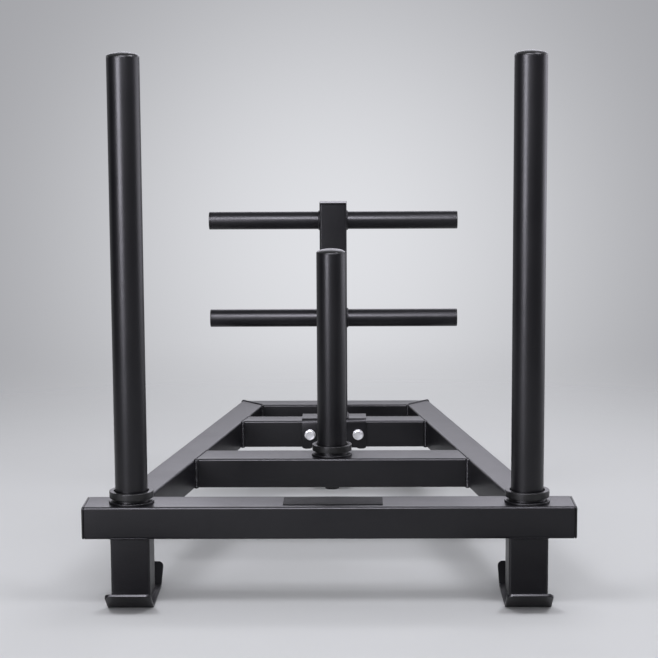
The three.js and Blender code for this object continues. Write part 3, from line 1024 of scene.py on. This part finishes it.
def weld_box_end(bm, centre, across, upward, width, height, radius=BEAD_RADIUS):
    """A bead all round the end of a box tube."""
    outline = rounded_box(width, height, TUBE_CORNER)
    path = [centre + across * p.x + upward * p.y for p in outline]
    bead(bm, path, across.cross(upward), radius, closed=True)


def rail_welds():
    """A bead round the front end of each rail."""
    bm = bmesh.new()
    width = TUBE / math.cos(TAPER)
    for side in SIDES.values():
        centre = Vector((side * (RAIL_FRONT_HALF - width / 2), RAIL_FRONT, FRAME_MIDDLE))
        weld_box_end(bm, centre, RIGHT, UP, width - BEAD_RADIUS, TUBE - 2 * BEAD_RADIUS)
    return bm


def crossbar_welds(node):
    """Beads up the corners where a crossbar meets the rails, and thin ones above and below."""
    bm = bmesh.new()
    low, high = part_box(node)
    for side in SIDES.values():
        corners = []
        for y, way in ((low.y, -1), (high.y, 1)):
            corner = Vector((side * inner_half(y), y, FRAME_BOTTOM))
            corners.append(corner)
            foot = corner + Vector((-side, way, 0)) * CROSSBAR_BEAD_STANDOFF
            path = [foot - UP * BEAD_OVERRUN, foot + UP * (TUBE + BEAD_OVERRUN)]
            bead(bm, path, RIGHT, CROSSBAR_BEAD_RADIUS, blobs=BEAD_BLOB)
        for lift in (0, TUBE):
            path = [corner + UP * lift for corner in corners]
            bead(bm, path, UP, THIN_BEAD_RADIUS)
    return bm


def mitre_welds():
    """A bead all round each rear mitre, and one up its inner corner."""
    bm = bmesh.new()
    outline = rounded_box(TUBE, TUBE, TUBE_CORNER)
    section = [Vector((0, REAR - TUBE / 2 + p.x, FRAME_MIDDLE + p.y)) for p in outline]
    for side in SIDES.values():
        plane = mitre(side, 0)
        path = [plane_cut(point, RIGHT, plane) for point in section]
        bead(bm, path, plane[1], MITRE_BEAD_RADIUS, closed=True)
        foot = Vector((side * inner_half(REAR - TUBE), REAR - TUBE, FRAME_BOTTOM - BEAD_OVERRUN))
        top = Vector((foot.x, foot.y, FRAME_TOP + BEAD_OVERRUN))
        bead(bm, [foot, top], RIGHT, blobs=BEAD_BLOB)
    return bm


def leg_welds(node):
    """Beads round the top and the foot of a leg."""
    bm = bmesh.new()
    low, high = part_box(node)
    centre, spans = middle(node), size(node)
    for z in (low.z, high.z + LEG_TOP_BEAD_SINK):
        place = Vector((centre.x, centre.y, z))
        weld_box_end(bm, place, RIGHT, BACK, spans.x, spans.y, SMALL_BEAD_RADIUS)
    return bm


def handle_welds():
    """Beads round the upright's foot and round the handlebars where they leave it."""
    bm = bmesh.new()
    weld_box_end(bm, foot_of("upright"), RIGHT, BACK, TUBE, TUBE)
    for node in HANDLEBARS:
        bar = circle(size(node).z / 2, ROUND_STEPS)
        for side in SIDES.values():
            place = middle(node) + RIGHT * side * (TUBE / 2 + HANDLEBAR_BEAD_STANDOFF)
            path = [place + BACK * x + UP * y for x, y in bar]
            bead(bm, path, RIGHT, SMALL_BEAD_RADIUS, closed=True)
    return bm


def build_welds():
    coated("rail_welds", rail_welds())
    coated("mid_crossbar_welds", crossbar_welds("mid_crossbar"))
    coated("saddle_crossbar_welds", crossbar_welds("saddle_crossbar"))
    coated("mitre_welds", mitre_welds())
    for name in SUPPORTS:
        coated(f"{name}_leg_welds", leg_welds(f"{name}_leg"))
    coated("handle_welds", handle_welds())


# Studio

FLOOR_RADIUS = 8.0
FLOOR_COLOUR = (0.620, 0.625, 0.640)
FLOOR_CENTRE = Vector((0, -0.4, 0))
FLOOR_FADE_START = 0.7
FLOOR_FADE_END = 2.8

# The backdrop has a soft glow behind the sled, and reflections see a dimmer room in front
BACKDROP_COLOUR = (0.376, 0.379, 0.400)
GLOW_COLOUR = (0.736, 0.744, 0.775)
GLOW_DIRECTION = Vector((-0.01, 0.995, -0.095))
GLOW_REACH = 0.225
ROOM_FRONT_COLOUR = (0.20, 0.20, 0.21)
ROOM_BLEND = 0.4
WORLD_LIGHT = (0.52, 0.52, 0.53)

# Each lamp has a place, a target, a width, a height and a radiance. Fills light the floor and all
# that is matt, and glints show only in reflections.
FILL_COLOUR = (0.965, 0.968, 1.0)
FILLS = {
    "overhead_left": ((-1.25, -0.75, 2.4), (0.1, -0.45, 0), 1.0, 0.7, 7.8),
    "overhead_right": ((1.45, -0.75, 2.4), (0.1, -0.45, 0), 1.0, 0.7, 7.8),
    "front_fill": ((0, -2.3, 1.5), (0, 0, 0.2), 1.6, 0.8, 1.5),
    "back_fill": ((0.5, 1.25, 2.2), (0.2, 0.2, 0), 1.5, 0.45, 6.6),
}
GLINT_COLOUR = (0.955, 0.935, 1.05)
GLINTS = {
    "front_high": ((-0.3, -1.7, 2.3), (0, -0.5, 0.1), 0.9, 0.6, 13.0),
    "right_high": ((1.1, -0.75, 2.3), (0.2, -0.4, 0.8), 0.8, 0.6, 26.0),
    "front_top": ((-0.15, -2.3, 2.15), (0, 0, 0.4), 1.3, 0.8, 22.0),
    "front_left": ((-1.7, -2.85, 1.15), (-0.2, -0.3, 0.5), 0.85, 1.8, 24.0),
    "back_top": ((0.1, 2.6, 1.5), (0, 0, 0.15), 2.6, 1.1, 2.7),
    "right_rear": ((2.0, 0.65, 0.9), (0, -0.2, 0.5), 1.9, 1.6, 2.2),
}

# Black cards that paint shade into the sled's reflections only: one upright at the sled's left,
# and one on the floor before each front leg
REFLECTION_SHADE_COLOUR = (0.01, 0.01, 0.01)
SIDE_CARD_X = -1.9
SIDE_CARD_FRONT = -1.9
SIDE_CARD_BACK = 0.1
SIDE_CARD_HEIGHT = 1.5
LEG_CARD_X = 0.31
LEG_CARD_WIDTH = 0.18
LEG_CARD_FRONT = -0.74
LEG_CARD_BACK = -0.53
LEG_CARD_LIFT = 0.002

# Camera of the photograph, which is a square
PHOTO_PIXELS = 658
FOCAL_PIXELS = 1904.1
SENSOR_WIDTH = 36
CAMERA_PLACE = Vector((0.0437, -3.2785, 0.8186))
CAMERA_YAW = math.radians(-0.852)
CAMERA_PITCH = math.radians(8.018)
CAMERA_ROLL = math.radians(-0.316)


def faded(tree, place, centre, start, end):
    """From none at one distance from a centre to all at another, smoothly."""
    distance = tree.nodes.new("ShaderNodeVectorMath")
    distance.operation = "DISTANCE"
    tree.links.new(place, distance.inputs[0])
    distance.inputs[1].default_value = centre
    share = ranged(tree, distance.outputs["Value"], start, end)
    share.interpolation_type = "SMOOTHSTEP"
    return share.outputs["Result"]


def build_floor():
    """A pale floor that fades into the backdrop round the sled."""
    bm = bmesh.new()
    bmesh.ops.create_circle(bm, cap_ends=True, segments=ROUND_STEPS, radius=FLOOR_RADIUS)
    floor = loose_object("floor", bm)
    material = matt("floor", FLOOR_COLOUR)
    tree = material.node_tree
    where = tree.nodes.new("ShaderNodeTexCoord").outputs["Object"]
    share = faded(tree, where, FLOOR_CENTRE, FLOOR_FADE_START, FLOOR_FADE_END)
    clear = tree.nodes.new("ShaderNodeBsdfTransparent")
    mix = tree.nodes.new("ShaderNodeMixShader")
    tree.links.new(share, mix.inputs[0])
    tree.links.new(tree.nodes["Principled BSDF"].outputs[0], mix.inputs[1])
    tree.links.new(clear.outputs[0], mix.inputs[2])
    tree.links.new(mix.outputs[0], tree.nodes["Material Output"].inputs["Surface"])
    floor.data.materials.append(material)


def build_world():
    """The backdrop for the camera, the room for reflections, and even light for the rest."""
    world = bpy.data.worlds.new("studio")
    bpy.context.scene.world = world
    world.use_nodes = True
    tree = world.node_tree
    where = tree.nodes.new("ShaderNodeTexCoord").outputs["Generated"]
    share = faded(tree, where, GLOW_DIRECTION, 0, GLOW_REACH)
    backdrop = mixed(tree, share, GLOW_COLOUR, BACKDROP_COLOUR)
    depth = node_of(tree, "ShaderNodeSeparateXYZ", Vector=where).outputs["Y"]
    behind = ranged(tree, depth, -ROOM_BLEND, ROOM_BLEND).outputs["Result"]
    room = mixed(tree, behind, ROOM_FRONT_COLOUR, backdrop)
    path = tree.nodes.new("ShaderNodeLightPath").outputs
    lit = mixed(tree, path["Is Glossy Ray"], WORLD_LIGHT, room)
    seen = tree.nodes.new("ShaderNodeMath")
    seen.operation = "MAXIMUM"
    tree.links.new(path["Is Camera Ray"], seen.inputs[0])
    tree.links.new(path["Is Transmission Ray"], seen.inputs[1])
    shown = mixed(tree, seen.outputs[0], lit, backdrop)
    tree.links.new(shown, tree.nodes["Background"].inputs["Color"])


def area_lamp(name, place, target, width, height, radiance, colour):
    """A soft box that glows at a given radiance."""
    data = bpy.data.lights.new(name, "AREA")
    data.shape = "RECTANGLE"
    data.size = width
    data.size_y = height
    data.energy = radiance * math.pi * width * height
    data.color = colour
    lamp = bpy.data.objects.new(name, data)
    bpy.context.scene.collection.objects.link(lamp)
    lamp.location = place
    lamp.rotation_euler = (Vector(target) - Vector(place)).to_track_quat("-Z", "Y").to_euler()
    lamp.visible_camera = False
    return lamp


def build_lamps():
    for name, settings in FILLS.items():
        area_lamp(name, *settings, FILL_COLOUR).visible_glossy = False
    for name, settings in GLINTS.items():
        area_lamp(name, *settings, GLINT_COLOUR).visible_diffuse = False


def build_reflection_shade_cards():
    """Black cards that only reflections see, as painted shade in the sled's reflections. They keep
    the backdrop off the sled's left flanks and the pale floor off the legs' fronts."""
    bm = bmesh.new()
    front, back, top = SIDE_CARD_FRONT, SIDE_CARD_BACK, SIDE_CARD_HEIGHT
    corners = ((front, 0), (back, 0), (back, top), (front, top))
    bm.faces.new(ring_of(bm, [(SIDE_CARD_X, y, z) for y, z in corners]))
    front, back = LEG_CARD_FRONT, LEG_CARD_BACK
    for side in SIDES.values():
        left = side * LEG_CARD_X - LEG_CARD_WIDTH / 2
        right = side * LEG_CARD_X + LEG_CARD_WIDTH / 2
        corners = ((left, front), (right, front), (right, back), (left, back))
        bm.faces.new(ring_of(bm, [(x, y, LEG_CARD_LIFT) for x, y in corners]))
    reflection_shade_cards = loose_object("reflection_shade_cards", bm)
    reflection_shade_cards.data.materials.append(matt("reflection_shade_cards", REFLECTION_SHADE_COLOUR))
    reflection_shade_cards.visible_camera = False
    reflection_shade_cards.visible_diffuse = False
    reflection_shade_cards.visible_shadow = False


def build_camera():
    data = bpy.data.cameras.new("camera")
    data.sensor_fit = "HORIZONTAL"
    data.sensor_width = SENSOR_WIDTH
    data.lens = FOCAL_PIXELS / PHOTO_PIXELS * SENSOR_WIDTH
    camera = bpy.data.objects.new("camera", data)
    bpy.context.scene.collection.objects.link(camera)
    yaw = Matrix.Rotation(-CAMERA_YAW, 4, "Z")
    pitch = Matrix.Rotation(math.pi / 2 - CAMERA_PITCH, 4, "X")
    roll = Matrix.Rotation(CAMERA_ROLL, 4, "Z")
    camera.matrix_world = Matrix.Translation(CAMERA_PLACE) @ yaw @ pitch @ roll
    bpy.context.scene.camera = camera


random.seed(7)
build_frame()
for post_name in POSTS:
    build_post(post_name)
build_handle()
build_badge()
build_welds()
build_floor()
build_world()
build_lamps()
build_reflection_shade_cards()
build_camera()
bpy.context.scene.view_settings.view_transform = "Standard"
